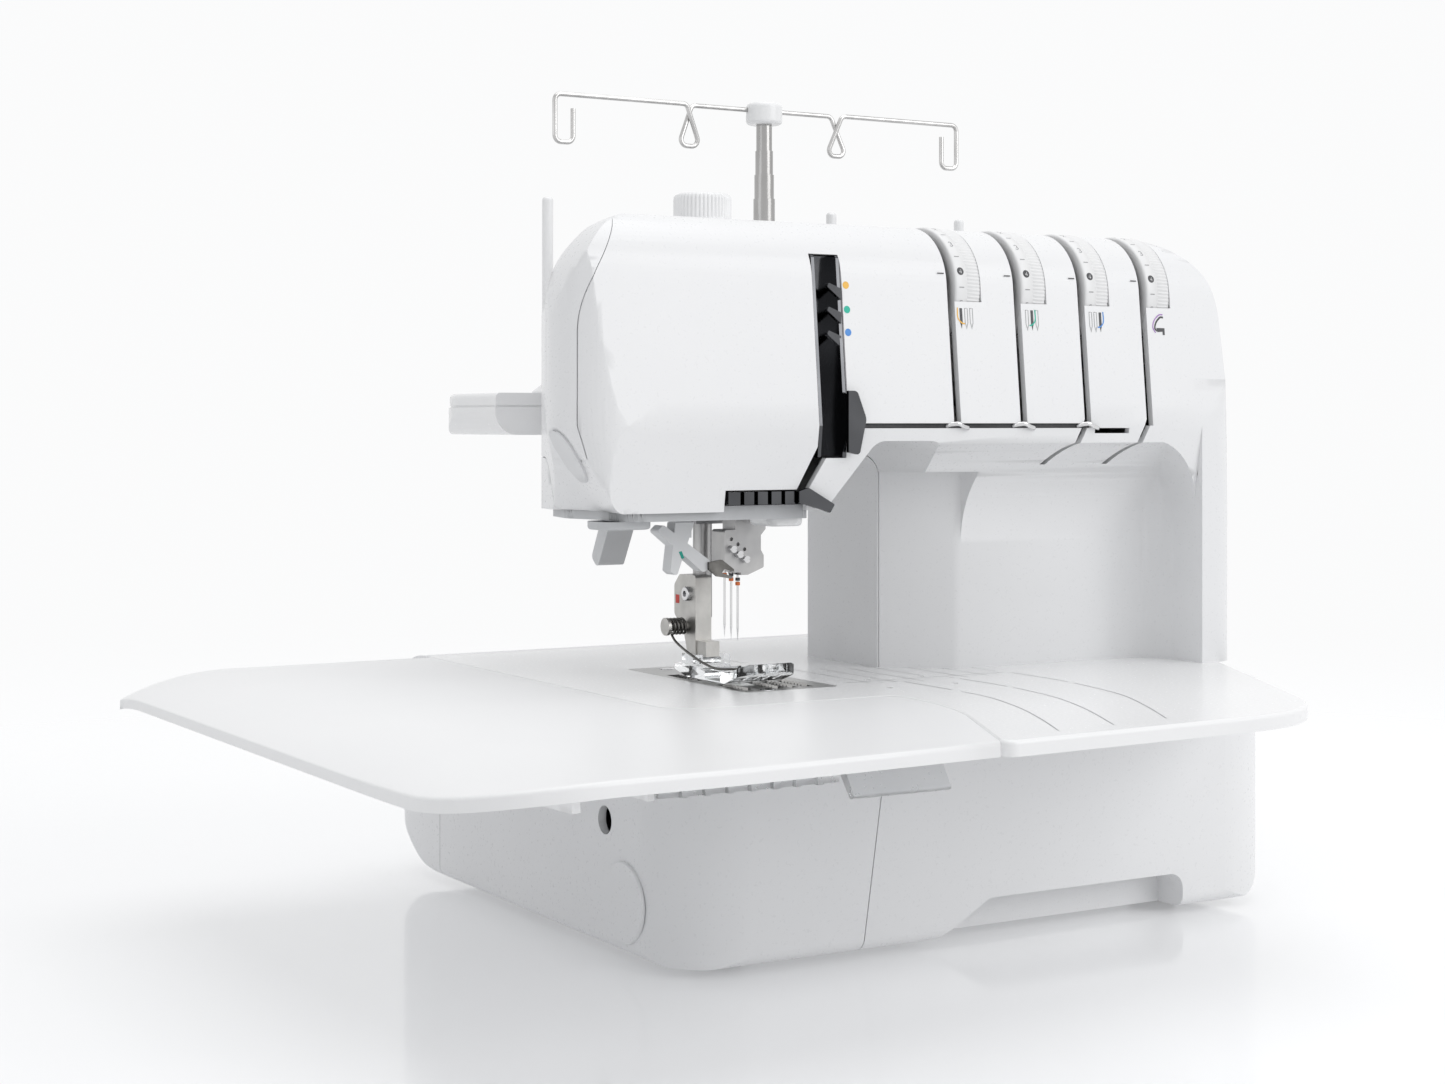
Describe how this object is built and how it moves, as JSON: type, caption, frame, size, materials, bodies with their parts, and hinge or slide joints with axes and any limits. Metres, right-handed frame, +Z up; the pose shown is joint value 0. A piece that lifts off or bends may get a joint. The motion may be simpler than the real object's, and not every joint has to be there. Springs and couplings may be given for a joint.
{
  "type": "cover-stitch sewing machine",
  "caption": "white cover-stitch sewing machine with an extension table, needle and presser group, tension dials, spool tray and telescopic thread mast",
  "frame": {"origin": "under the middle of the whole footprint, on the plane of the rubber feet", "axes": "+Z up, +X to the machine's right (handwheel end), +Y to its back"},
  "size_m": [0.426, 0.3622, 0.318],
  "materials": {
    "white_shell": "smooth white moulding",
    "grey_plate": "satin grey moulding",
    "clear_plastic": "clear moulding",
    "steel": "machined",
    "chrome": "polished",
    "dark_chrome": "smoked chrome",
    "cast_alloy": "as cast",
    "motor_case": "satin",
    "black_rubber": "matt"
  },
  "bodies": {
    "machine": {"base_shell": "white_shell", "bed_top": "white_shell", "needle_plate": "steel", "plate_screws": "steel", "rubber_feet": "black_rubber", "base_frame": "cast_alloy", "arm_frame": "cast_alloy", "front_cover": "white_shell", "side_cover": "white_shell", "rear_cover": "white_shell", "underside_plate": "grey_plate", "thread_cutter": "white_shell", "tension_discs": "steel", "take_up_guide": "dark_chrome", "needle_thread_guide": "dark_chrome", "spool_tray": "white_shell", "spool_deck": "white_shell", "spool_pins": "white_shell", "mast_low": "chrome", "motor": "motor_case", "timing_belt": "black_rubber", "motor_belt": "black_rubber"},
    "table": {"extension_table": "white_shell", "table_bracket": "clear_plastic"},
    "latch": {"table_latch": "clear_plastic"},
    "looper_door": {"looper_cover": "white_shell", "access_cap": "white_shell"},
    "main_drive": {"main_shaft": "steel", "handwheel": "white_shell"},
    "upper_drive": {"upper_shaft": "steel", "needle_crank": "steel"},
    "rotor": {"motor_pulley": "steel"},
    "needle_group": {"needle_bar": "chrome", "needle_clamp": "steel", "needle_screws": "steel", "needles": "chrome"},
    "link": {"needle_link": "steel"},
    "presser_group": {"presser_bar": "chrome", "foot_ankle": "steel", "ankle_screw": "steel", "foot_spring": "steel"},
    "foot": {"presser_foot": "clear_plastic"},
    "lifter": {"presser_lifter": "white_shell"},
    "threader": {"threader_lever": "white_shell", "threader_hooks": "steel"},
    "knob": {"pressure_knob": "white_shell"},
    "dial_1": {"tension_dial_1": "white_shell"},
    "dial_2": {"tension_dial_2": "white_shell"},
    "dial_3": {"tension_dial_3": "white_shell"},
    "dial_4": {"tension_dial_4": "white_shell"},
    "front_dog": {"front_feed_dog": "steel"},
    "rear_dog": {"rear_feed_dog": "steel"},
    "loop_maker": {"looper": "steel"},
    "tube_middle": {"mast_middle": "chrome"},
    "tube_upper": {"mast_upper": "chrome"},
    "tube_top": {"mast_top": "chrome", "mast_cap": "white_shell", "guide_wire": "chrome"},
    "switch": {"power_switch": "white_shell"}
  },
  "joints": [
    {"name": "table_slide", "type": "slide", "parent": "machine", "child": "table", "axis": [-1, 0, 0], "range_m": [0, 0.22]},
    {"name": "latch_pull", "type": "hinge", "parent": "table", "child": "latch", "pos_m": [-0.051, -0.11939, 0.0805], "axis": [1, 0, 0], "range_deg": [0, 16], "stiffness_Nm_per_rad": 0.02, "springref_deg": -14.32},
    {"name": "looper_door_slide", "type": "slide", "parent": "machine", "child": "looper_door", "axis": [-1, 0, 0], "range_m": [0, 0.055]},
    {"name": "handwheel_spin", "type": "hinge", "parent": "machine", "child": "main_drive", "pos_m": [0.193, 0.04511, 0.056], "axis": [1, 0, 0], "continuous": true},
    {"name": "upper_spin", "type": "hinge", "parent": "machine", "child": "upper_drive", "pos_m": [0.077, 0.00511, 0.196], "axis": [1, 0, 0], "continuous": true},
    {"name": "motor_spin", "type": "hinge", "parent": "machine", "child": "rotor", "pos_m": [0.167, 0.10911, 0.04], "axis": [1, 0, 0], "continuous": true},
    {"name": "needle_stroke", "type": "slide", "parent": "machine", "child": "needle_group", "axis": [0, 0, 1], "range_m": [-0.026, 0]},
    {"name": "link_swing", "type": "hinge", "parent": "needle_group", "child": "link", "pos_m": [-0.0101, 0.00511, 0.24], "axis": [1, 0, 0], "range_deg": [-28, 28]},
    {"name": "presser_lift", "type": "slide", "parent": "machine", "child": "presser_group", "axis": [0, 0, 1], "range_m": [0, 0.006]},
    {"name": "foot_tilt", "type": "hinge", "parent": "presser_group", "child": "foot", "pos_m": [-0.023, 0.01511, 0.097], "axis": [-1, 0, 0], "range_deg": [0, 8]},
    {"name": "lifter_swing", "type": "hinge", "parent": "machine", "child": "lifter", "pos_m": [-0.0425, 0.04911, 0.166], "axis": [1, 0, 0], "range_deg": [0, 50]},
    {"name": "threader_pull", "type": "slide", "parent": "machine", "child": "threader", "axis": [0, 0, 1], "range_m": [-0.022, 0], "stiffness_N_per_m": 25, "springref_m": 0.012},
    {"name": "knob_turn", "type": "hinge", "parent": "machine", "child": "knob", "pos_m": [-0.023, 0.02611, 0.262], "axis": [0, 0, 1], "range_deg": [-180, 180]},
    {"name": "dial_1_turn", "type": "hinge", "parent": "machine", "child": "dial_1", "pos_m": [0.0581, -0.00609, 0.234], "axis": [1, 0, 0], "range_deg": [-135, 135]},
    {"name": "dial_2_turn", "type": "hinge", "parent": "machine", "child": "dial_2", "pos_m": [0.0888, -0.00609, 0.234], "axis": [1, 0, 0], "range_deg": [-135, 135]},
    {"name": "dial_3_turn", "type": "hinge", "parent": "machine", "child": "dial_3", "pos_m": [0.1195, -0.00609, 0.234], "axis": [1, 0, 0], "range_deg": [-135, 135]},
    {"name": "dial_4_turn", "type": "hinge", "parent": "machine", "child": "dial_4", "pos_m": [0.1502, -0.00609, 0.234], "axis": [1, 0, 0], "range_deg": [-135, 135]},
    {"name": "front_feed", "type": "slide", "parent": "machine", "child": "front_dog", "axis": [0, 1, 0], "range_m": [-0.002, 0.002]},
    {"name": "rear_feed", "type": "slide", "parent": "machine", "child": "rear_dog", "axis": [0, 1, 0], "range_m": [-0.002, 0.002]},
    {"name": "looper_swing", "type": "hinge", "parent": "machine", "child": "loop_maker", "pos_m": [-0.011, 0.02511, 0.044], "axis": [0, 1, 0], "range_deg": [-12, 12]},
    {"name": "mast_first", "type": "slide", "parent": "machine", "child": "tube_middle", "axis": [0, 0, 1], "range_m": [0, 0.07]},
    {"name": "mast_second", "type": "slide", "parent": "tube_middle", "child": "tube_upper", "axis": [0, 0, 1], "range_m": [0, 0.07]},
    {"name": "mast_third", "type": "slide", "parent": "tube_upper", "child": "tube_top", "axis": [0, 0, 1], "range_m": [0, 0.07]},
    {"name": "power_rock", "type": "hinge", "parent": "machine", "child": "switch", "pos_m": [0.184, 0.10111, 0.047], "axis": [0, 0, 1], "range_deg": [0, 7]}
  ],
  "couplings": [
    {"joint": "upper_spin", "follows": "handwheel_spin", "ratio": 1},
    {"joint": "motor_spin", "follows": "handwheel_spin", "ratio": 3.7143},
    {"joint": "lifter_swing", "follows": "presser_lift", "rad_per_m": 145.44},
    {"joint": "rear_feed", "follows": "front_feed", "ratio": 1}
  ]
}
